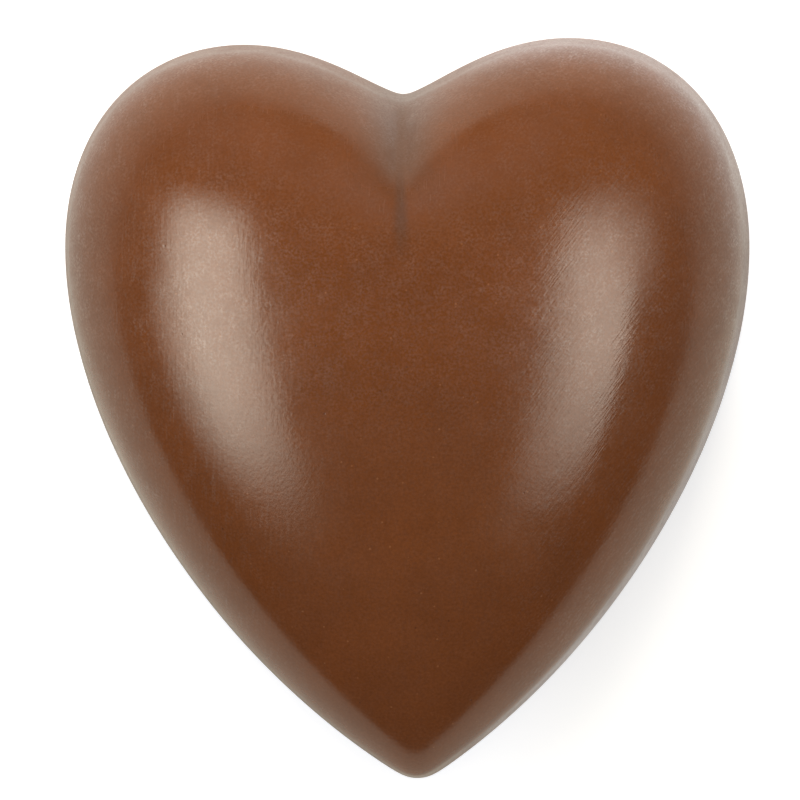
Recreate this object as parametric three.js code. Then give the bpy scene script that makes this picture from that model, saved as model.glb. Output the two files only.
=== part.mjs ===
// A filled chocolate heart as it leaves its mould: a smooth domed top with a soft crease running
// down from the notch, a low drafted wall, and a flat base. It is shut all round, so it is one solid.
// Units are millimetres and +Z is up. The origin is the middle of the base, +X runs across the
// heart, and +Y runs from its tip to its two lobes.

import * as THREE from "three";

// The outline, which is widest just above the base.
const WIDTH = 34;
const LENGTH = 36.65;
const NOTCH_DEPTH = 2.65; // from the tops of the lobes down to the bottom of the notch
const LOBE_SPACING = 16; // between the tops of the two lobes
const WIDEST_BELOW_LOBES = 10.25; // from the tops of the lobes down to the widest place
const TIP_RADIUS = 1.9;
const FLANK_SLOPE = THREE.MathUtils.degToRad(33); // of each flank where it leaves the tip

// How far each curve of the outline holds the direction that it starts or ends in.
const NOTCH_HOLD = 1;
const LOBE_INNER_HOLD = 4;
const LOBE_OUTER_HOLD = 5.4;
const SIDE_UPPER_HOLD = 6.1;
const SIDE_LOWER_HOLD = 8.9;
const FLANK_HOLD = 10.9;

// The wall and the dome on it.
const BASE_EDGE_RADIUS = 0.35;
const WALL_HEIGHT = 4; // from the base to the foot of the dome
const WALL_DRAFT = THREE.MathUtils.degToRad(5.5); // the wall leans in, so that it leaves the mould
const DOME_HEIGHT = 8.8; // from the top of the wall to the highest place
const DOME_CENTRE_FROM_TIP = 20.5;
const FULLER_LOBES = 0.23; // how much the dome is fuller towards its lobes than a blown skin
const FULLER_SIDES = 0.24; // how much it is fuller towards its sides

// The crease between the lobes.
const CREASE_SHARE = 0.58; // of the dome's height that the crease takes away at the notch
const CREASE_LENGTH = 7; // from the notch to where the crease has faded out
const CREASE_SPREAD = 1; // the distance to its side at which the crease is much shallower
const CREASE_ROUNDING = 0.3; // of the bottom of the crease

// How finely the surface is divided.
const HALF_OUTLINE_STEPS = 56;
const BEND_LENGTH = 2; // the length of outline that counts as much as a bend of one radian
const TRACE_STEPS = 2400; // the fine steps in which the outline is measured
const DOME_RINGS = 22;
const WALL_RINGS = 3;
const BASE_EDGE_RINGS = 2;

// The skin of the dome is settled in sweeps, each of which moves a point past its balance.
const SKIN_SWEEPS = 2500;
const SKIN_OVERSHOOT = 1.9;

const CHOCOLATE_COLOUR = 0x6e4129;
const CHOCOLATE_ROUGHNESS = 0.38;

const NOTCH = new THREE.Vector2(0, LENGTH / 2 - NOTCH_DEPTH);
const LOBE_TOP = new THREE.Vector2(LOBE_SPACING / 2, LENGTH / 2);
const SIDE = new THREE.Vector2(WIDTH / 2, LENGTH / 2 - WIDEST_BELOW_LOBES);
const TIP_CENTRE = new THREE.Vector2(0, TIP_RADIUS - LENGTH / 2);
const DOME_CENTRE = new THREE.Vector2(0, DOME_CENTRE_FROM_TIP - LENGTH / 2);

// The point a distance away from another, in a direction given as an angle from +X.
function pointFrom(start, angle, distance) {
  const step = new THREE.Vector2(Math.cos(angle), Math.sin(angle));
  return start.clone().addScaledVector(step, distance);
}

// The right half of the outline, from the notch over the lobe and down the flank to the tip.
function rightHalf() {
  const flankEnd = pointFrom(TIP_CENTRE, FLANK_SLOPE - Math.PI / 2, TIP_RADIUS);
  const half = new THREE.CurvePath();
  half.add(
    new THREE.CubicBezierCurve(
      NOTCH,
      pointFrom(NOTCH, 0, NOTCH_HOLD),
      pointFrom(LOBE_TOP, Math.PI, LOBE_INNER_HOLD),
      LOBE_TOP,
    ),
  );
  half.add(
    new THREE.CubicBezierCurve(
      LOBE_TOP,
      pointFrom(LOBE_TOP, 0, LOBE_OUTER_HOLD),
      pointFrom(SIDE, Math.PI / 2, SIDE_UPPER_HOLD),
      SIDE,
    ),
  );
  half.add(
    new THREE.CubicBezierCurve(
      SIDE,
      pointFrom(SIDE, -Math.PI / 2, SIDE_LOWER_HOLD),
      pointFrom(flankEnd, FLANK_SLOPE, FLANK_HOLD),
      flankEnd,
    ),
  );
  half.add(
    new THREE.EllipseCurve(
      TIP_CENTRE.x,
      TIP_CENTRE.y,
      TIP_RADIUS,
      TIP_RADIUS,
      FLANK_SLOPE - Math.PI / 2,
      -Math.PI / 2,
      true,
    ),
  );
  return half;
}

// Points along a path, closer together where it bends.
function pointsAlong(path, steps) {
  const trace = path.getSpacedPoints(TRACE_STEPS);
  const reached = [0];
  for (let i = 1; i < trace.length; i += 1) {
    const here = trace[i].clone().sub(trace[i - 1]);
    const before = i > 1 ? trace[i - 1].clone().sub(trace[i - 2]) : here;
    const bend = Math.abs(Math.atan2(before.cross(here), before.dot(here)));
    reached.push(reached[i - 1] + here.length() + BEND_LENGTH * bend);
  }
  const points = [];
  let i = 0;
  for (let step = 0; step <= steps; step += 1) {
    const wanted = (reached[TRACE_STEPS] * step) / steps;
    while (i < TRACE_STEPS - 1 && reached[i + 1] < wanted) i += 1;
    const share = (wanted - reached[i]) / (reached[i + 1] - reached[i]);
    points.push(trace[i].clone().lerp(trace[i + 1], share));
  }
  return points;
}

// The whole outline, counter-clockwise from the notch. Its left half mirrors its right.
function outlinePoints() {
  const right = pointsAlong(rightHalf(), HALF_OUTLINE_STEPS);
  const left = right.slice(0, -1).map((point) => new THREE.Vector2(-point.x, point.y));
  return [...left, ...right.slice(1).reverse()];
}

// The outline moved in by the same distance all round.
function movedIn(outline, distance) {
  return outline.map((point, i) => {
    const before = outline[(i + outline.length - 1) % outline.length];
    const after = outline[(i + 1) % outline.length];
    const along = after.clone().sub(before).normalize();
    return new THREE.Vector2(point.x - along.y * distance, point.y + along.x * distance);
  });
}

// The dome's rings in plan, from its centre out to its rim. The rings are round near the centre
// and become the rim on their way out, and they crowd towards it, where the dome is steepest.
function domePlan(rim) {
  const rings = [];
  for (let ring = 1; ring <= DOME_RINGS; ring += 1) {
    const reach = Math.sin(((Math.PI / 2) * ring) / DOME_RINGS);
    rings.push(
      rim.map((point) => {
        const spoke = point.clone().sub(DOME_CENTRE);
        const round = spoke.clone().setLength(LOBE_SPACING / 2);
        return round.lerp(spoke, reach * reach).multiplyScalar(reach).add(DOME_CENTRE);
      }),
    );
  }
  return rings;
}

// Triangles between two rings of corners, the first of them inside or above the second.
function band(inner, outer, count) {
  const triangles = [];
  for (let i = 0; i < count; i += 1) {
    const next = (i + 1) % count;
    triangles.push([inner + i, outer + i, outer + next]);
    triangles.push([inner + i, outer + next, inner + next]);
  }
  return triangles;
}

// Triangles from a centre to a ring round it.
function fan(centre, ring, count) {
  return Array.from({ length: count }, (_, i) => [centre, ring + i, ring + ((i + 1) % count)]);
}

// How high a thin skin rises over the rim when it is blown up from below: an even pressure lifts
// each point, and its neighbours pull it back. The points from firstHeld on stay down.
function blownSkin(points, triangles, firstHeld) {
  const pulls = points.map(() => new Map());
  const lifts = points.map(() => 0);
  for (const corners of triangles) {
    for (let c = 0; c < 3; c += 1) {
      const [a, b, opposite] = [corners[c], corners[(c + 1) % 3], corners[(c + 2) % 3]];
      const toA = points[a].clone().sub(points[opposite]);
      const toB = points[b].clone().sub(points[opposite]);
      const pull = toA.dot(toB) / toA.cross(toB) / 2;
      pulls[a].set(b, (pulls[a].get(b) ?? 0) + pull);
      pulls[b].set(a, (pulls[b].get(a) ?? 0) + pull);
      lifts[opposite] += toA.cross(toB) / 6;
    }
  }
  const heights = points.map(() => 0);
  for (let sweep = 0; sweep < SKIN_SWEEPS; sweep += 1) {
    for (let i = 0; i < firstHeld; i += 1) {
      let push = lifts[i];
      let hold = 0;
      for (const [neighbour, pull] of pulls[i]) {
        push += pull * heights[neighbour];
        hold += pull;
      }
      heights[i] += SKIN_OVERSHOOT * (push / hold - heights[i]);
    }
  }
  return heights;
}

// How much higher the mould makes the dome at a point than a blown skin would be.
function fullness(point) {
  const up = (point.y - DOME_CENTRE.y) / DOME_CENTRE_FROM_TIP;
  const out = point.x / SIDE.x;
  return 1 + FULLER_LOBES * up * (1 + up) + FULLER_SIDES * out * out * (1 - up);
}

// The share of the dome's height that the crease leaves at a point.
function creaseLeaves(point) {
  const start = NOTCH.y - CREASE_LENGTH;
  const fade = THREE.MathUtils.clamp((point.y - start) / CREASE_LENGTH, 0, 1);
  const aside = Math.hypot(point.x, CREASE_ROUNDING) - CREASE_ROUNDING;
  return 1 - CREASE_SHARE * fade * fade * Math.exp(-aside / CREASE_SPREAD);
}

// The corners and triangles of the dome, centre first and rim last.
function dome(rim) {
  const rings = domePlan(rim);
  const plan = [DOME_CENTRE, ...rings.flat()];
  const triangles = fan(0, 1, rim.length);
  for (let ring = 1; ring < DOME_RINGS; ring += 1) {
    triangles.push(...band(1 + (ring - 1) * rim.length, 1 + ring * rim.length, rim.length));
  }
  const skin = blownSkin(plan, triangles, plan.length - rim.length);
  const rises = plan.map((p, i) => Math.sqrt(skin[i]) * fullness(p) * creaseLeaves(p));
  const highest = Math.max(...rises);
  const corners = plan.map((point, i) => {
    const height = WALL_HEIGHT + (DOME_HEIGHT * rises[i]) / highest;
    return new THREE.Vector3(point.x, point.y, height);
  });
  return { corners, triangles };
}

// The wall's levels below the dome, each a height and how far the outline is moved in there.
function wallLevels() {
  const levels = [];
  for (let ring = WALL_RINGS - 1; ring > 0; ring -= 1) {
    const up = ((WALL_HEIGHT - BASE_EDGE_RADIUS) * ring) / WALL_RINGS;
    levels.push([BASE_EDGE_RADIUS + up, up * Math.tan(WALL_DRAFT)]);
  }
  for (let ring = 0; ring <= BASE_EDGE_RINGS; ring += 1) {
    const turn = ((Math.PI / 2) * ring) / BASE_EDGE_RINGS;
    levels.push([
      BASE_EDGE_RADIUS * (1 - Math.sin(turn)),
      BASE_EDGE_RADIUS * (1 - Math.cos(turn)),
    ]);
  }
  return levels;
}

function heartGeometry() {
  const outline = outlinePoints();
  const count = outline.length;
  const rim = movedIn(outline, (WALL_HEIGHT - BASE_EDGE_RADIUS) * Math.tan(WALL_DRAFT));
  const { corners, triangles } = dome(rim);
  for (const [height, inset] of wallLevels()) {
    triangles.push(...band(corners.length - count, corners.length, count));
    corners.push(...movedIn(outline, inset).map((p) => new THREE.Vector3(p.x, p.y, height)));
  }
  const baseRing = corners.length - count;
  const baseFan = fan(corners.length, baseRing, count);
  triangles.push(...baseFan.map(([centre, a, b]) => [centre, b, a]));
  corners.push(new THREE.Vector3(DOME_CENTRE.x, DOME_CENTRE.y, 0));

  const geometry = new THREE.BufferGeometry().setFromPoints(corners);
  geometry.setIndex(triangles.flat());
  geometry.computeVertexNormals();
  return geometry;
}

function chocolate() {
  return new THREE.MeshStandardMaterial({
    color: CHOCOLATE_COLOUR,
    roughness: CHOCOLATE_ROUGHNESS,
    metalness: 0,
  });
}

const heart = new THREE.Mesh(heartGeometry(), chocolate());
heart.name = "chocolate_heart";

const part = new THREE.Group();
part.add(heart);

export default part;
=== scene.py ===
"""A filled chocolate heart on a pale table, seen from above between two tall soft lights."""

import math

import bmesh
import bpy
from mathutils import Matrix, Vector, kdtree, noise


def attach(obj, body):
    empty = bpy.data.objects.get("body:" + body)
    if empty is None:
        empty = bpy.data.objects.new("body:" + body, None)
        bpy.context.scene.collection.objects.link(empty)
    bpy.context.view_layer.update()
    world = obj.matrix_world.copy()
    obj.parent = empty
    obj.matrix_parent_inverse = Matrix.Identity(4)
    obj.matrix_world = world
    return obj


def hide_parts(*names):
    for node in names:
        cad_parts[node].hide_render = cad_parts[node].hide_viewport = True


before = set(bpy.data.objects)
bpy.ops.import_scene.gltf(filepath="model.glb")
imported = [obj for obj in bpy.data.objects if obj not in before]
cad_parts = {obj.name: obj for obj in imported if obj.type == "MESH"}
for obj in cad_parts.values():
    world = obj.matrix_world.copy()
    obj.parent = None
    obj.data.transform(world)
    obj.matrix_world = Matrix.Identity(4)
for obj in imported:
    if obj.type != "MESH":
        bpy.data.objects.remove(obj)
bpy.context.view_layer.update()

MM = 0.001
HEART = "chocolate_heart"


# ---------------------------------------------------------------- the heart's surface

WELD = 0.002 * MM
FLAT_PAIR_ANGLE = math.radians(40)  # two triangles this flat become one four-sided face
SQUARE_CORNER_ANGLE = math.radians(80)  # how far that face's corners may be from square
BASE_RINGS = 12
SMOOTHING_LEVELS = 2
FACING_DOWN = -0.9  # a normal's height, below which a face or a point is of the base
FACING_UP = 0.1

# How far the moulded surface wanders, and over what length.
MOULD_SWELL = 0.012 * MM
MOULD_SWELL_LENGTH = 4.5 * MM
MOULD_RIPPLE = 0.0022 * MM
MOULD_RIPPLE_LENGTH = 1.3 * MM

# The narrow line at the bottom of the crease, from the notch down to its foot.
CREASE_LINE_END = 15.6 * MM
CREASE_LINE_FULL = 13.5 * MM
CREASE_LINE_TAIL = 10.0 * MM
CREASE_LINE_FOOT = 7.0 * MM
CREASE_LINE_DEPTH = 0.07 * MM
CREASE_TAIL_DEPTH = 0.02 * MM
CREASE_LINE_HALF_WIDTH = 0.42 * MM

# The underside, where the mould was scraped level and a last layer closed the heart.
EDGE_WEAR = 0.05 * MM
EDGE_WEAR_HEIGHT = 0.7 * MM
EDGE_WEAR_LENGTH = 1.6 * MM
CLOSING_LAYER_INSET = 1.3 * MM
CLOSING_LAYER_BLEND = 0.5 * MM
CLOSING_LAYER_DIP = 0.09 * MM
EDGE_DISTANCE = "edge_distance"


def welded_copy(node):
    """The node's loose triangles as one closed skin of mostly four-sided faces."""
    skin = bmesh.new()
    skin.from_mesh(node.data)
    bmesh.ops.remove_doubles(skin, verts=skin.verts, dist=WELD)
    bmesh.ops.join_triangles(
        skin,
        faces=[face for face in skin.faces if face.calc_center_median().z > WELD],
        angle_face_threshold=FLAT_PAIR_ANGLE,
        angle_shape_threshold=SQUARE_CORNER_ANGLE,
        topology_influence=1.0,
    )
    return skin


def ring_the_base(skin):
    """Divides the fan of the base into rings, so that its surface can be shaped."""
    low = (vert for vert in skin.verts if vert.co.z < WELD)
    hub = max(low, key=lambda vert: len(vert.link_edges))
    bmesh.ops.subdivide_edges(skin, edges=hub.link_edges[:], cuts=BASE_RINGS)


def smoothed(skin, name):
    """A finer mesh of the skin, on the smooth surface that runs through it."""
    rough = bpy.data.meshes.new(name + "_rough")
    skin.to_mesh(rough)
    skin.free()
    holder = bpy.data.objects.new(name, rough)
    bpy.context.scene.collection.objects.link(holder)
    fine = holder.modifiers.new("smooth", "SUBSURF")
    fine.levels = fine.render_levels = SMOOTHING_LEVELS
    depsgraph = bpy.context.evaluated_depsgraph_get()
    mesh = bpy.data.meshes.new_from_object(holder.evaluated_get(depsgraph))
    mesh.name = name
    holder.modifiers.clear()
    holder.data = mesh
    bpy.data.meshes.remove(rough)
    return holder


def ease(value, start, end):
    """Goes gently from 0 at the start to 1 at the end."""
    share = min(max((value - start) / (end - start), 0), 1)
    return share * share * (3 - 2 * share)


def wander(place_on, length):
    """A smooth random share from 0 to 1 that changes over a length."""
    return (1 - noise.noise(place_on / length)) / 2


def mould_relief(vert):
    """How far the moulded surface wanders inwards at a point, as set chocolate does."""
    swell = MOULD_SWELL * wander(vert.co, MOULD_SWELL_LENGTH)
    ripple = MOULD_RIPPLE * wander(vert.co, MOULD_RIPPLE_LENGTH)
    return swell + ripple


def crease_line(vert):
    """How deep the narrow line at the bottom of the crease is at a point."""
    if vert.co.y < CREASE_LINE_FOOT or vert.normal.z < FACING_UP:
        return 0
    aside = vert.co.x / CREASE_LINE_HALF_WIDTH
    tail = CREASE_TAIL_DEPTH * ease(vert.co.y, CREASE_LINE_FOOT, CREASE_LINE_TAIL)
    full = CREASE_LINE_DEPTH * ease(vert.co.y, CREASE_LINE_TAIL, CREASE_LINE_FULL)
    ended = ease(vert.co.y, CREASE_LINE_END, CREASE_LINE_FULL)
    return (tail + full) * ended * math.exp(-aside * aside)


def edge_wear(vert):
    """How far the lowest part of the wall is worn away at a point."""
    return EDGE_WEAR * ease(vert.co.z, EDGE_WEAR_HEIGHT, 0) * wander(vert.co, EDGE_WEAR_LENGTH)


def nearest_of(verts):
    """A search tree that finds the nearest of some points."""
    tree = kdtree.KDTree(len(verts))
    for i, vert in enumerate(verts):
        tree.insert(vert.co, i)
    tree.balance()
    return tree


def shape_surface(heart):
    """Marks how far each point of the base is from its edge, and shapes the whole surface."""
    skin = bmesh.new()
    skin.from_mesh(heart.data)
    skin.normal_update()
    inside_edge = skin.verts.layers.float.new(EDGE_DISTANCE)
    base = [v for v in skin.verts if v.co.z < WELD and v.normal.z < FACING_DOWN]
    rim = [v for v in base if any(e.other_vert(v).co.z > WELD for e in v.link_edges)]
    nearest_rim = nearest_of(rim)
    base_set = set(base)
    for vert in skin.verts:
        if vert not in base_set:
            inwards = mould_relief(vert) + crease_line(vert) + edge_wear(vert)
            vert.co -= vert.normal * inwards
    for vert in base:
        distance = nearest_rim.find(vert.co)[2]
        vert[inside_edge] = distance / MM
        sunk = ease(distance, CLOSING_LAYER_INSET, CLOSING_LAYER_INSET + CLOSING_LAYER_BLEND)
        vert.co.z += CLOSING_LAYER_DIP * sunk * wander(vert.co, MOULD_SWELL_LENGTH)
    skin.to_mesh(heart.data)
    skin.free()


def make_heart():
    skin = welded_copy(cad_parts[HEART])
    ring_the_base(skin)
    heart = smoothed(skin, "heart")
    heart.data.materials.append(moulded_chocolate())
    heart.data.materials.append(scraped_chocolate())
    for face in heart.data.polygons:
        face.material_index = int(face.center.z < WELD and face.normal.z < FACING_DOWN)
    shape_surface(heart)
    heart.data.shade_smooth()
    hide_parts(HEART)
    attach(heart, "root")
    return heart


# ---------------------------------------------------------------- building materials
# The materials measure in millimetres, and in shares from 0 to 1.

SPOT_CORE = 0.3  # the share of a spot's radius within which it is full
NOISE_MIDDLE = (0.3, 0.7)  # what a soft noise mostly keeps to
NOISE_SPAN = (0.25, 0.75)
WHOLE = (0.0, 1.0)


def new_material(name):
    material = bpy.data.materials.new(name)
    material.use_nodes = True
    return material.node_tree, material.node_tree.nodes["Principled BSDF"], material


def new_group(name, inputs, outputs):
    """An empty shader node group, with the sockets through which it takes and gives values."""
    group = bpy.data.node_groups.new(name, "ShaderNodeTree")
    for label, kind in inputs:
        group.interface.new_socket(label, in_out="INPUT", socket_type=kind)
    for label, kind in outputs:
        group.interface.new_socket(label, in_out="OUTPUT", socket_type=kind)
    entry = group.nodes.new("NodeGroupInput")
    leave = group.nodes.new("NodeGroupOutput")
    return group, entry.outputs, leave.inputs


def use_group(tree, group, **values):
    """A node in the tree that stands for a group, with its inputs joined up."""
    node = tree.nodes.new("ShaderNodeGroup")
    node.node_tree = group
    for label, value in values.items():
        feed(tree, value, node.inputs[label])
    return node.outputs


def feed(tree, value, socket):
    """Joins another node's output to a socket, or sets the socket to a plain value."""
    if isinstance(value, bpy.types.NodeSocket):
        tree.links.new(value, socket)
    else:
        socket.default_value = value


def maths(tree, operation, *values):
    node = tree.nodes.new("ShaderNodeMath")
    node.operation = operation
    for value, socket in zip(values, node.inputs):
        feed(tree, value, socket)
    return node.outputs[0]


def times(tree, first, *others):
    """The product of some values."""
    for other in others:
        first = maths(tree, "MULTIPLY", first, other)
    return first


def vector_maths(tree, operation, first, second):
    node = tree.nodes.new("ShaderNodeVectorMath")
    node.operation = operation
    feed(tree, first, node.inputs[0])
    feed(tree, second, node.inputs["Scale" if operation == "SCALE" else 1])
    return node.outputs[0]


def spread(tree, value, source, target=WHOLE, soft=True):
    """Carries a value from one range over to another and stays within it."""
    node = tree.nodes.new("ShaderNodeMapRange")
    node.interpolation_type = "SMOOTHSTEP" if soft else "LINEAR"
    feed(tree, value, node.inputs["Value"])
    node.inputs["From Min"].default_value, node.inputs["From Max"].default_value = source
    node.inputs["To Min"].default_value, node.inputs["To Max"].default_value = target
    return node.outputs["Result"]


def mottle(tree, position, size, detail=2.0):
    """Soft random blotches of a size, as a value about one half."""
    node = tree.nodes.new("ShaderNodeTexNoise")
    feed(tree, position, node.inputs["Vector"])
    node.inputs["Scale"].default_value = 1 / size
    node.inputs["Detail"].default_value = detail
    return node.outputs["Fac"]


def spots(tree, position, spacing, radius):
    """Scattered round spots, each 1 at its middle and 0 beyond the radius."""
    node = tree.nodes.new("ShaderNodeTexVoronoi")
    feed(tree, position, node.inputs["Vector"])
    node.inputs["Scale"].default_value = 1 / spacing
    full = SPOT_CORE * radius
    return spread(tree, node.outputs["Distance"], (radius / spacing, full / spacing))


def blend(tree, share, first, second, how="MIX"):
    """Two colours blended by a share."""
    node = tree.nodes.new("ShaderNodeMix")
    node.data_type = "RGBA"
    node.blend_type = how
    feed(tree, share, node.inputs["Factor"])
    colours = [socket for socket in node.inputs if socket.type == "RGBA"]
    feed(tree, first, colours[0])
    feed(tree, second, colours[1])
    return next(socket for socket in node.outputs if socket.type == "RGBA")


def grey(tree, value):
    """A value as a colour that has it in red, green and blue."""
    node = tree.nodes.new("ShaderNodeCombineColor")
    for socket in node.inputs:
        feed(tree, value, socket)
    return node.outputs[0]


def millimetres(tree):
    """The place on the piece, in millimetres."""
    place_on = tree.nodes.new("ShaderNodeTexCoord")
    return vector_maths(tree, "SCALE", place_on.outputs["Object"], 1 / MM)


def across_along_up(tree, position):
    """A position's three parts: across the heart, along it and up."""
    parts = tree.nodes.new("ShaderNodeSeparateXYZ")
    feed(tree, position, parts.inputs[0])
    return parts.outputs["X"], parts.outputs["Y"], parts.outputs["Z"]


def turned_place(tree, position, degrees, along, across):
    """The position turned about the upright, for marks that run along one direction."""
    node = tree.nodes.new("ShaderNodeMapping")
    node.vector_type = "TEXTURE"
    feed(tree, position, node.inputs["Vector"])
    node.inputs["Rotation"].default_value = (0, 0, math.radians(degrees))
    node.inputs["Scale"].default_value = (along, across, along)
    return node.outputs["Vector"]


def bump(tree, height):
    """A surface direction from a height in millimetres."""
    node = tree.nodes.new("ShaderNodeBump")
    node.inputs["Strength"].default_value = 1
    node.inputs["Distance"].default_value = MM
    feed(tree, height, node.inputs["Height"])
    return node.outputs["Normal"]


# ---------------------------------------------------------------- chocolate

COCOA = (0.136, 0.0402, 0.0108, 1)
PALE_SPECK = (0.27, 0.105, 0.04, 1)
PIT_SHADE = (0.035, 0.011, 0.006, 1)
# The colour of the painted shade in the crease.
CREASE_SHADE = (0.075, 0.037, 0.021, 1)
CHOCOLATE_IOR = 1.5

# Clouds and grain, as a size and the tones between which they change, then specks and pits,
# as how far apart and how wide they are and how much of their colour shows: the specks' own pale
# colour, and painted shade in the pits.
CLOUD_SIZE, CLOUD_TONES = 2.6, (0.945, 1.055)
GRAIN_SIZE, GRAIN_TONES = 0.14, (0.87, 1.13)
PALE_SPECK_SPACING, PALE_SPECK_RADIUS, PALE_SPECK_SHARE = 0.9, 0.075, 0.45
PIT_SPACING, PIT_RADIUS, PIT_SHARE = 1.3, 0.07, 0.45


def cocoa_tone():
    """Chocolate's colour: cloudy, finely grained, with specks of milk, and small pits darkened
    with painted shade.
    """
    group, given, gives = new_group(
        "cocoa_tone",
        [("Position", "NodeSocketVector"), ("Colour", "NodeSocketColor")],
        [("Colour", "NodeSocketColor"), ("Pits", "NodeSocketFloat")],
    )
    where = given["Position"]
    cloudy = mottle(group, where, CLOUD_SIZE, detail=3)
    grainy = mottle(group, where, GRAIN_SIZE, detail=3)
    clouds = spread(group, cloudy, NOISE_MIDDLE, CLOUD_TONES, soft=False)
    grain = spread(group, grainy, NOISE_SPAN, GRAIN_TONES, soft=False)
    uneven = grey(group, times(group, clouds, grain))
    tone = blend(group, 1.0, given["Colour"], uneven, "MULTIPLY")
    milky = spots(group, where, PALE_SPECK_SPACING, PALE_SPECK_RADIUS)
    tone = blend(group, times(group, milky, PALE_SPECK_SHARE), tone, PALE_SPECK)
    # The pits are darkened with painted shade.
    pits = spots(group, where, PIT_SPACING, PIT_RADIUS)
    tone = blend(group, times(group, pits, PIT_SHARE), tone, PIT_SHADE)
    feed(group, tone, gives["Colour"])
    feed(group, pits, gives["Pits"])
    return group


# The sheen's fine grains and faint smears, as a size and the levels between which they change.
HAZE_GRAIN_SIZE, HAZE_GRAIN_SPAN, HAZE_GRAIN_LEVELS = 0.12, (0.36, 0.74), (0, 2.8)
HAZE_SMEAR_SIZE, HAZE_SMEAR_LEVELS = 0.8, (0.4, 1.6)


def waxy_haze():
    """How much of a soft sheen lies on the chocolate, in fine grains and faint smears."""
    group, given, gives = new_group(
        "waxy_haze",
        [("Position", "NodeSocketVector"), ("Amount", "NodeSocketFloat")],
        [("Haze", "NodeSocketFloat")],
    )
    fine = mottle(group, given["Position"], HAZE_GRAIN_SIZE, detail=1)
    broad = mottle(group, given["Position"], HAZE_SMEAR_SIZE, detail=3)
    grains = spread(group, fine, HAZE_GRAIN_SPAN, HAZE_GRAIN_LEVELS, soft=False)
    smears = spread(group, broad, NOISE_MIDDLE, HAZE_SMEAR_LEVELS, soft=False)
    feed(group, times(group, grains, smears, given["Amount"]), gives["Haze"])
    return group


# Brushed streaks on the left side and hairlines on the right: where they fade in from the
# middle, their direction in degrees, their length and width, and how high they stand.
STREAKS_FADE, STREAKS_LEAST = (-4, -10), 0.15
STREAK_TURN, STREAK_LENGTH, STREAK_WIDTH, STREAK_HEIGHT = 88, 1.2, 0.14, 0.0035
HAIRLINES_FADE, HAIRLINES_LEAST = (3, 8), 0.2
HAIRLINE_TURN, HAIRLINE_LENGTH, HAIRLINE_WIDTH, HAIRLINE_HEIGHT = 52, 0.8, 0.075, 0.005
BRUSHED_SPAN, SCRATCHED_SPAN = (0.42, 0.66), (0.42, 0.62)
DEEP_STREAK_SPAN = (0.5, 0.7)
TOOTH_SIZE, TOOTH_HEIGHT = 0.2, 0.004
PIT_DEPTH = 0.004
SMEAR_SIZE, SMEAR_SPAN = 2.1, (0.35, 0.65)


def mould_marks():
    """The marks that handling left in the moulded top: brushed streaks, hairlines and grain."""
    group, given, gives = new_group(
        "mould_marks",
        [("Position", "NodeSocketVector"), ("Pits", "NodeSocketFloat")],
        [
            ("Height", "NodeSocketFloat"),
            ("Scuffs", "NodeSocketFloat"),
            ("Lines", "NodeSocketFloat"),
        ],
    )
    where = given["Position"]
    across, _, _ = across_along_up(group, where)
    left = spread(group, across, STREAKS_FADE)
    right = spread(group, across, HAIRLINES_FADE)
    along_streak = turned_place(group, where, STREAK_TURN, STREAK_LENGTH, STREAK_WIDTH)
    along_line = turned_place(group, where, HAIRLINE_TURN, HAIRLINE_LENGTH, HAIRLINE_WIDTH)
    streaks = mottle(group, along_streak, size=1, detail=3)
    hairlines = mottle(group, along_line, size=1, detail=1)
    tooth = mottle(group, where, TOOTH_SIZE)

    streaks_shown = spread(group, left, WHOLE, (STREAKS_LEAST, 1), soft=False)
    hairlines_shown = spread(group, right, WHOLE, (HAIRLINES_LEAST, 1), soft=False)
    height = times(group, streaks, streaks_shown, STREAK_HEIGHT)
    fine = times(group, hairlines, hairlines_shown, HAIRLINE_HEIGHT)
    height = maths(group, "ADD", height, fine)
    height = maths(group, "ADD", height, times(group, tooth, TOOTH_HEIGHT))
    height = maths(group, "SUBTRACT", height, times(group, given["Pits"], PIT_DEPTH))
    feed(group, height, gives["Height"])

    smears = spread(group, mottle(group, where, SMEAR_SIZE, detail=3), SMEAR_SPAN)
    deep = spread(group, streaks, DEEP_STREAK_SPAN)
    mean = times(group, maths(group, "ADD", smears, deep), 0.5)
    feed(group, mean, gives["Scuffs"])

    brushed = times(group, spread(group, streaks, BRUSHED_SPAN), left)
    scratched = times(group, spread(group, hairlines, SCRATCHED_SPAN), right)
    feed(group, maths(group, "ADD", brushed, scratched), gives["Lines"])
    return group


# Where the top's finish and the crease's painted shade change, each range from where a change
# begins to where it is full:
# a side range towards the middle line, an along range towards the lobes, and the height range
# down from the brow of the dome. The single numbers say how strong each change is.
CREASE_SIDE, CREASE_ALONG, CREASE_SHARE = (0.55, 0.05), (7, 10), 0.6
DIM_SIDE, DIM_ALONG, DIM_SHARE = (2.6, 0), (9.5, 12.5), 0.55
HOLLOW_SIDE, HOLLOW_ALONG, HOLLOW_ROUGHNESS = (5, 0), (8, 13), 0.2
NOTCH_SIDE, NOTCH_ALONG, NOTCH_VEIL = (6, 0), (12.6, 15.4), 0.1
WORN_HEIGHT, WORN_ALONG, WORN_ROUGHNESS, WORN_VEIL = (10.6, 8.6), (-3, 8), 0.2, 0.1
LOBES_ALONG, LOBES_HAZE = (-6, 9), 0.14

POLISHED_TO_SCUFFED = (0.14, 0.22)  # how rough the top is, from polished to scuffed
LEAST_HAZE = 0.04
LINES_HAZE = 0.14
TOP_HAZE_ROUGHNESS = 0.42


def by_the_middle_line(tree, across, along, side_range, along_range):
    """1 on the middle line towards the notch, and 0 aside from it and towards the tip."""
    beside = spread(tree, maths(tree, "ABSOLUTE", across), side_range)
    return times(tree, beside, spread(tree, along, along_range))


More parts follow.
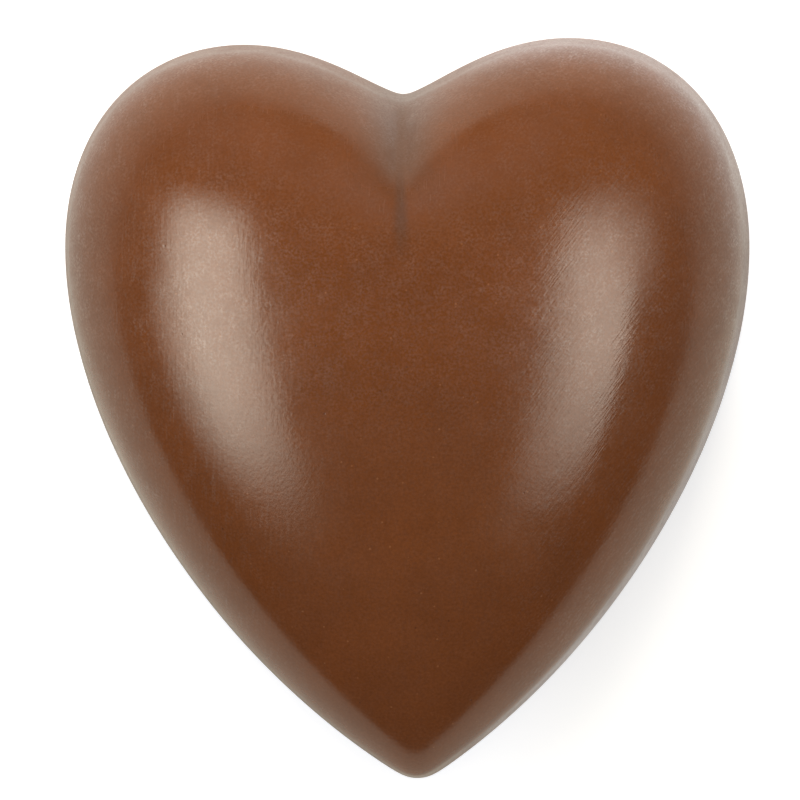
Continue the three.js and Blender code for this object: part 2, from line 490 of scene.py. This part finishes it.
def moulded_chocolate():
    """The glossy top and wall, as they left the mould."""
    tree, shader, material = new_material("moulded_chocolate")
    where = millimetres(tree)
    across, along, up = across_along_up(tree, where)

    # Painted shade makes the crease darker and greyer, most of all along its line.
    tone = use_group(tree, COCOA_TONE, Position=where, Colour=COCOA)
    line = by_the_middle_line(tree, across, along, CREASE_SIDE, CREASE_ALONG)
    dim = by_the_middle_line(tree, across, along, DIM_SIDE, DIM_ALONG)
    crease_shaded = maths(tree, "MAXIMUM", times(tree, line, CREASE_SHARE), times(tree, dim, DIM_SHARE))
    feed(tree, blend(tree, crease_shaded, tone["Colour"], CREASE_SHADE), shader.inputs["Base Color"])

    # The surface is duller in the hollow of the crease, and round the lobes below the brow.
    marks = use_group(tree, mould_marks(), Position=where, Pits=tone["Pits"])
    roughness = spread(tree, marks["Scuffs"], WHOLE, POLISHED_TO_SCUFFED, soft=False)
    worn = times(tree, spread(tree, up, WORN_HEIGHT), spread(tree, along, WORN_ALONG))
    hollow = by_the_middle_line(tree, across, along, HOLLOW_SIDE, HOLLOW_ALONG)
    rubbed = times(tree, worn, WORN_ROUGHNESS)
    dull = maths(tree, "MAXIMUM", rubbed, times(tree, hollow, HOLLOW_ROUGHNESS))
    feed(tree, maths(tree, "ADD", roughness, dull), shader.inputs["Roughness"])
    feed(tree, bump(tree, marks["Height"]), shader.inputs["Normal"])

    # A soft sheen lies over it, and more of it on the lobes, by the notch and along scratches.
    on_lobes = spread(tree, along, LOBES_ALONG)
    amount = maths(tree, "MULTIPLY_ADD", on_lobes, LOBES_HAZE, LEAST_HAZE)
    amount = maths(tree, "MULTIPLY_ADD", marks["Lines"], LINES_HAZE, amount)
    haze = use_group(tree, WAXY_HAZE, Position=where, Amount=amount)
    by_notch = by_the_middle_line(tree, across, along, NOTCH_SIDE, NOTCH_ALONG)
    veil = maths(tree, "MULTIPLY_ADD", worn, WORN_VEIL, haze["Haze"])
    veil = maths(tree, "MULTIPLY_ADD", by_notch, NOTCH_VEIL, veil)
    feed(tree, veil, shader.inputs["Coat Weight"])
    shader.inputs["Coat Roughness"].default_value = TOP_HAZE_ROUGHNESS
    shader.inputs["IOR"].default_value = CHOCOLATE_IOR
    return material


# The underside: how far the line round the closing layer wanders, the two sides of its groove,
# measured inwards from the edge, and the scrapes, dimples and air holes.
LINE_WANDER_SIZE, LINE_WANDER = 1.4, (-0.25, 0.25)
GROOVE_OUTER_SIDE, GROOVE_INNER_SIDE = (1.2, 1.45), (1.7, 1.35)
GROOVE_DEPTH = 0.05
SCRAPE_TURN, SCRAPE_LENGTH, SCRAPE_WIDTH, SCRAPE_HEIGHT = 12, 7, 0.16, 0.03
DIMPLE_SIZE, DIMPLE_HEIGHT = 0.5, 0.05
HOLE_SPACING, HOLE_RADIUS, HOLE_DEPTH = 2.6, 0.32, 0.1
SCRAPED_ROUGHNESS = 0.4
SCRAPED_HAZE, SCRAPED_HAZE_ROUGHNESS = 0.08, 0.5


def scraped_chocolate():
    """The duller underside: scraped level, with the line round the layer that closed it."""
    tree, shader, material = new_material("scraped_chocolate")
    where = millimetres(tree)
    tone = use_group(tree, COCOA_TONE, Position=where, Colour=COCOA)
    feed(tree, tone["Colour"], shader.inputs["Base Color"])

    edge = tree.nodes.new("ShaderNodeAttribute")
    edge.attribute_name = EDGE_DISTANCE
    uneven = mottle(tree, where, LINE_WANDER_SIZE, detail=3)
    shift = spread(tree, uneven, NOISE_MIDDLE, LINE_WANDER, soft=False)
    inset = maths(tree, "ADD", edge.outputs["Fac"], shift)
    outer_side = spread(tree, inset, GROOVE_OUTER_SIDE)
    groove = times(tree, outer_side, spread(tree, inset, GROOVE_INNER_SIDE))

    along_scrape = turned_place(tree, where, SCRAPE_TURN, SCRAPE_LENGTH, SCRAPE_WIDTH)
    scrapes = mottle(tree, along_scrape, size=1, detail=3)
    dimples = mottle(tree, where, DIMPLE_SIZE, detail=4)
    holes = spots(tree, where, HOLE_SPACING, HOLE_RADIUS)
    height = times(tree, scrapes, SCRAPE_HEIGHT)
    height = maths(tree, "ADD", height, times(tree, dimples, DIMPLE_HEIGHT))
    height = maths(tree, "SUBTRACT", height, times(tree, groove, GROOVE_DEPTH))
    height = maths(tree, "SUBTRACT", height, times(tree, holes, HOLE_DEPTH))
    feed(tree, bump(tree, height), shader.inputs["Normal"])

    haze = use_group(tree, WAXY_HAZE, Position=where, Amount=SCRAPED_HAZE)
    feed(tree, haze["Haze"], shader.inputs["Coat Weight"])
    shader.inputs["Coat Roughness"].default_value = SCRAPED_HAZE_ROUGHNESS
    shader.inputs["Roughness"].default_value = SCRAPED_ROUGHNESS
    shader.inputs["IOR"].default_value = CHOCOLATE_IOR
    return material


COCOA_TONE = cocoa_tone()
WAXY_HAZE = waxy_haze()


# ---------------------------------------------------------------- table

TABLE_SIZE = 2.4
TABLE_COLOUR = (0.76, 0.7, 0.58, 1)
TABLE_GLOW = (0.6, 0.64, 0.71, 1)
TABLE_ROUGHNESS = 0.8
TABLE_SHINE = 0.1

# Where the table glows in reflections only, a painted light that the chocolate mirrors: behind the
# heart, more of it on the right, less behind the notch and less from far off, and also at the foot
# of the heart's right side.
BEHIND_ALONG = (0, 22)
BEHIND_ACROSS, BEHIND_LEFT_LEVEL = (-9, 8), 0.45
NOTCH_GAP, NOTCH_GAP_LEVEL = (1, 6), 0.5
CLOSE_BY, FAR_LEVEL = (24 * MM, 7 * MM), 0.12
FOOT_DISTANCE, FOOT_LEVEL = (8 * MM, 2 * MM), 0.33
FOOT_ACROSS = (0, 8)

# Where the camera sees the table a little darker: a painted faint shadow at the lower right.
SHADE_ACROSS, SHADE_ALONG, SHADE_LEVEL = (1, 10), (6, -3), 0.2


def table_material():
    """A matt table, lit up for the camera with a painted shadow, and with a painted glow in
    reflections behind the heart.
    """
    tree, shader, material = new_material("pale_table")
    shader.inputs["Base Color"].default_value = TABLE_COLOUR
    shader.inputs["Roughness"].default_value = TABLE_ROUGHNESS
    shader.inputs["Specular IOR Level"].default_value = TABLE_SHINE
    path = tree.nodes.new("ShaderNodeLightPath")
    across, along, _ = across_along_up(tree, millimetres(tree))

    behind = times(
        tree,
        spread(tree, along, BEHIND_ALONG),
        spread(tree, across, BEHIND_ACROSS, (BEHIND_LEFT_LEVEL, 1)),
        spread(tree, path.outputs["Ray Length"], CLOSE_BY, (FAR_LEVEL, 1)),
        spread(tree, maths(tree, "ABSOLUTE", across), NOTCH_GAP, (NOTCH_GAP_LEVEL, 1)),
    )
    foot = times(
        tree,
        spread(tree, path.outputs["Ray Length"], FOOT_DISTANCE, (0, FOOT_LEVEL)),
        spread(tree, across, FOOT_ACROSS),
    )
    mirrored = times(tree, maths(tree, "MAXIMUM", behind, foot), path.outputs["Is Glossy Ray"])

    shade = times(
        tree,
        spread(tree, across, SHADE_ACROSS, (0, SHADE_LEVEL)),
        spread(tree, along, SHADE_ALONG),
    )
    seen = maths(tree, "MAXIMUM", maths(tree, "SUBTRACT", path.outputs["Is Camera Ray"], shade), 0)
    feed(tree, maths(tree, "ADD", mirrored, seen), shader.inputs["Emission Strength"])
    shader.inputs["Emission Color"].default_value = TABLE_GLOW
    return material


def make_table():
    bm = bmesh.new()
    bmesh.ops.create_grid(bm, x_segments=1, y_segments=1, size=TABLE_SIZE / 2)
    mesh = bpy.data.meshes.new("table")
    bm.to_mesh(mesh)
    bm.free()
    table = bpy.data.objects.new("table", mesh)
    bpy.context.scene.collection.objects.link(table)
    mesh.materials.append(table_material())


# ---------------------------------------------------------------- camera and light

PHOTO_WIDTH = 39.64 * MM  # across the photo, at the foot of the heart's wall
PHOTO_TURN = math.radians(1.209)  # how far the heart is turned in the photo
PHOTO_CENTRE = Vector((-0.515, 0.507, 0.35)) * MM
CAMERA_DISTANCE = 0.5
CAMERA_LEAN = Vector((math.tan(math.radians(1.4)), math.tan(math.radians(1.8)), 1))
CAMERA_NEAREST = 0.01
SENSOR = 36.0  # in millimetres, as is the lens

ROOM_LIGHT = 0.75
BOX_REACH = 0.6  # how far the tall lights are from the heart

# The two tall lights. Each has its level at angles from straight above, in its upper part by
# the lobes and its lower part by the tip. Along it, it has its level at distances from the
# heart's middle, in shares of the reach. The turns say between which of these distances the
# lower part becomes the upper one.
LEFT_BOX = {
    "side": -1,
    "upper": (
        (19.5, 0), (22, 0.55), (27, 0.78), (31, 0.95), (36, 1), (41, 1), (49.5, 0.5),
        (58, 0.18), (63, 0),
    ),
    "lower": (
        (19.5, 0), (21.7, 0.05), (22.8, 0.8), (27, 0.92), (31, 1), (40, 1), (45, 0.75),
        (50, 0.4), (54.5, 0.08), (63, 0),
    ),
    "along": (
        (-0.66, 0), (-0.6, 0.12), (-0.55, 0.38), (-0.5, 0.62), (-0.43, 0.85), (-0.33, 1),
        (0.1, 1), (0.2, 0.93), (0.29, 0.78), (0.36, 0.6), (0.44, 0.3), (0.5, 0.08), (0.54, 0),
    ),
    "turns": (-0.25, -0.05),
    "radiance": (7.4, 7.12, 6.1),
}
RIGHT_BOX = {
    "side": 1,
    "upper": (
        (17.5, 0), (19.5, 0.1), (21, 0.75), (26, 1), (34, 1), (38, 0.78), (43, 0.53),
        (49, 0.33), (55, 0.16), (61, 0),
    ),
    "lower": (
        (17.5, 0), (19, 0.25), (21, 0.5), (26, 0.75), (31, 1), (45, 1), (47, 0.1), (48, 0),
        (61, 0),
    ),
    "along": (
        (-0.7, 0), (-0.6, 0.22), (-0.55, 0.42), (-0.48, 0.6), (-0.35, 0.8), (-0.2, 0.97),
        (0, 1), (0.12, 0.92), (0.21, 0.7), (0.28, 0.52), (0.36, 0.33), (0.44, 0.16), (0.52, 0),
    ),
    "turns": (-0.2, 0.1),
    "radiance": (6.0, 5.76, 5.0),
}

# The wide light, with its angles in degrees.
WINDOW = {
    "across": -15,
    "along": 55,
    "reach": 1.0,
    "width": 0.8,
    "length": 0.6,
    "radiance": (7.0, 7.0, 7.0),
}


def place(thing, x_axis, y_axis, z_axis, position):
    """Turns an object to three axes and moves it to a position."""
    turn = Matrix((x_axis, y_axis, z_axis)).transposed().to_4x4()
    thing.matrix_world = Matrix.Translation(position) @ turn


def make_camera():
    data = bpy.data.cameras.new("camera")
    data.sensor_width = SENSOR
    data.lens = SENSOR * CAMERA_DISTANCE / PHOTO_WIDTH
    data.clip_start = CAMERA_NEAREST
    camera = bpy.data.objects.new("camera", data)
    bpy.context.scene.collection.objects.link(camera)
    back = CAMERA_LEAN.normalized()
    upright = Vector((math.sin(PHOTO_TURN), math.cos(PHOTO_TURN), 0))
    right = upright.cross(back).normalized()
    place(camera, right, back.cross(right), back, PHOTO_CENTRE + back * CAMERA_DISTANCE)
    bpy.context.scene.camera = camera


def area_light(name, width, length, radiance):
    """A rectangular light of an even radiance, given for red, green and blue."""
    data = bpy.data.lights.new(name, "AREA")
    data.shape = "RECTANGLE"
    data.size, data.size_y = width, length
    brightest = max(radiance)
    data.color = [part / brightest for part in radiance]
    data.energy = brightest * width * length * math.pi
    light = bpy.data.objects.new(name, data)
    bpy.context.scene.collection.objects.link(light)
    light.visible_camera = False
    return light


def level_along(tree, share, stops):
    """A level that runs through its stops, each a share of the way and the level there."""
    node = tree.nodes.new("ShaderNodeValToRGB")
    feed(tree, share, node.inputs["Fac"])
    elements = node.color_ramp.elements
    elements.remove(elements[1])
    elements[0].position = stops[0][0]
    for way, _ in stops[1:]:
        elements.new(way)
    for element, (_, level) in zip(elements, stops):
        element.color = (level, level, level, 1)
    return node.outputs["Color"]


def softbox(name, side, upper, lower, along, turns, radiance):
    """A tall light that only shows as a reflection, on one side of the heart."""
    inner, outer = math.radians(upper[0][0]), math.radians(upper[-1][0])
    middle, half = (inner + outer) / 2, (outer - inner) / 2
    low, high = along[0][0], along[-1][0]
    light = area_light(name, 2 * BOX_REACH * math.tan(half), BOX_REACH * (high - low), radiance)
    back = Vector((side * math.sin(middle), 0, math.cos(middle)))
    outwards = side * Vector((back.z, 0, -back.x))
    position = back * BOX_REACH + Vector((0, (low + high) / 2 * BOX_REACH, 0))
    place(light, outwards, back.cross(outwards), back, position)
    light.visible_diffuse = False

    def way_across(angle):
        return 0.5 + math.tan(math.radians(angle) - middle) / (2 * math.tan(half))

    def way_along(distance):
        return (distance - low) / (high - low)

    light.data.use_nodes = True
    tree = light.data.node_tree
    on_light = tree.nodes.new("ShaderNodeNewGeometry")
    x, y, _ = across_along_up(tree, on_light.outputs["Parametric"])
    upper_level = level_along(tree, x, [(way_across(angle), level) for angle, level in upper])
    lower_level = level_along(tree, x, [(way_across(angle), level) for angle, level in lower])
    upper_share = spread(tree, y, (way_along(turns[0]), way_along(turns[1])))
    level = blend(tree, upper_share, lower_level, upper_level)
    end_level = level_along(tree, y, [(way_along(distance), level) for distance, level in along])
    feed(tree, times(tree, level, end_level), tree.nodes["Emission"].inputs["Strength"])


def broad_light(name, across, along, reach, width, length, radiance):
    """A wide light that faces the heart from an angle across it and an angle along it."""
    light = area_light(name, width, length, radiance)
    back = Vector((math.tan(math.radians(across)), math.tan(math.radians(along)), 1)).normalized()
    side = Vector((0, 1, 0)).cross(back).normalized()
    place(light, side, back.cross(side), back, back * reach)
    light.visible_glossy = False


def make_room():
    """An even soft light from all round that doesn't show as a reflection."""
    world = bpy.data.worlds.new("room")
    bpy.context.scene.world = world
    world.use_nodes = True
    background = world.node_tree.nodes["Background"]
    background.inputs["Color"].default_value = (1, 1, 1, 1)
    background.inputs["Strength"].default_value = ROOM_LIGHT
    world.cycles_visibility.glossy = False


make_heart()
make_table()
make_camera()
make_room()
softbox("left_box", **LEFT_BOX)
softbox("right_box", **RIGHT_BOX)
broad_light("window", **WINDOW)
bpy.context.scene.view_settings.view_transform = "Standard"
